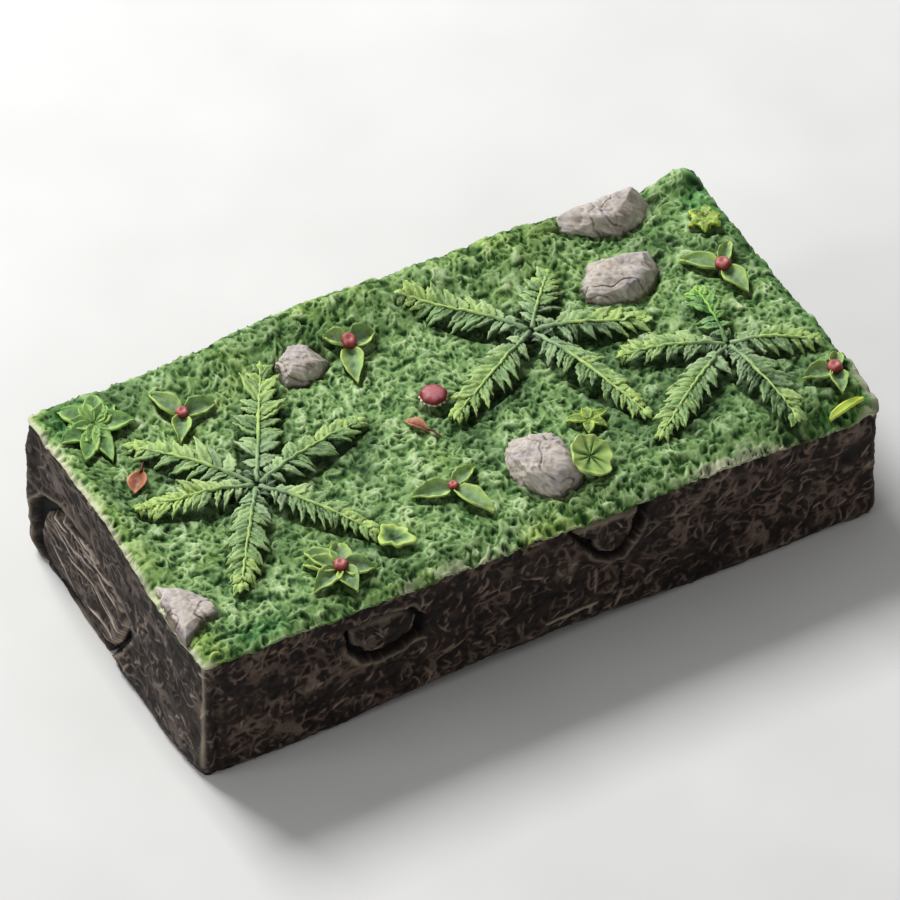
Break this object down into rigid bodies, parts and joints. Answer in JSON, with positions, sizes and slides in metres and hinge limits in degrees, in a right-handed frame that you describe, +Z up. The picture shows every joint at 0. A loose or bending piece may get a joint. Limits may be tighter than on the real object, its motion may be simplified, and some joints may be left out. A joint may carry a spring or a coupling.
{
  "type": "resin cave ornament",
  "caption": "Low hollow resin cave for an aquarium: rough stone sides with inset stones, a mossy roof with ferns, rocks and red berries, and a mouth in the rear wall.",
  "frame": {"origin": "centre of the bounding box in plan, on the plane of the bottom rim", "axes": "+X along the length towards the end with the large rear rock, front long wall faces -Y, +Z up"},
  "size_m": [0.2008, 0.0988, 0.05],
  "materials": {
    "stone_shell": "painted resin, dark brown, dry-brushed tan",
    "side_stone": "painted resin, grey-brown, dry-brushed tan",
    "moss": "painted resin, dark green, dry-brushed pale green",
    "rock": "painted resin, pale warm grey",
    "frond": "painted resin, yellow-green",
    "fern_crown": "painted resin, dark green",
    "leaf": "painted resin, light green with darker middles",
    "round_leaf": "painted resin, bright yellow-green",
    "berry": "painted resin, red, slightly glossy",
    "toadstool_cap": "painted resin, crimson, slightly glossy",
    "toadstool_stalk": "painted resin, pale green-grey",
    "fallen_leaf": "painted resin, orange-brown"
  },
  "bodies": {
    "root": {"cave_shell": "stone_shell", "clover": "leaf", "corner_plant": "leaf", "corner_rock": "rock", "curled_leaf": "leaf", "edge_leaf": "leaf", "fallen_leaf_left": "fallen_leaf", "fallen_leaf_middle": "fallen_leaf", "front_left_berry": "berry", "front_left_sprig": "leaf", "front_left_stone": "side_stone", "front_middle_berry": "berry", "front_middle_sprig": "leaf", "front_right_berry": "berry", "front_right_sprig": "leaf", "front_right_stone": "side_stone", "front_rock": "rock", "leaf_tuft": "leaf", "left_end_stone": "side_stone", "left_fern_crown": "fern_crown", "left_frond_1": "frond", "left_frond_2": "frond", "left_frond_3": "frond", "left_frond_4": "frond", "left_frond_5": "frond", "left_frond_6": "frond", "middle_fern_crown": "fern_crown", "middle_frond_1": "frond", "middle_frond_2": "frond", "middle_frond_3": "frond", "middle_frond_4": "frond", "middle_frond_5": "frond", "moss_layer": "moss", "rear_large_rock": "rock", "rear_left_berry": "berry", "rear_left_rock": "rock", "rear_left_sprig": "leaf", "rear_left_stone": "side_stone", "rear_middle_berry": "berry", "rear_middle_sprig": "leaf", "rear_right_berry": "berry", "rear_right_sprig": "leaf", "rear_right_stone": "side_stone", "rear_small_rock": "rock", "right_end_stone": "side_stone", "right_fern_crown": "fern_crown", "right_frond_1": "frond", "right_frond_2": "frond", "right_frond_3": "frond", "right_frond_4": "frond", "right_frond_5": "frond", "round_leaf": "round_leaf", "toadstool_cap": "toadstool_cap", "toadstool_stalk": "toadstool_stalk"}
  },
  "joints": []
}
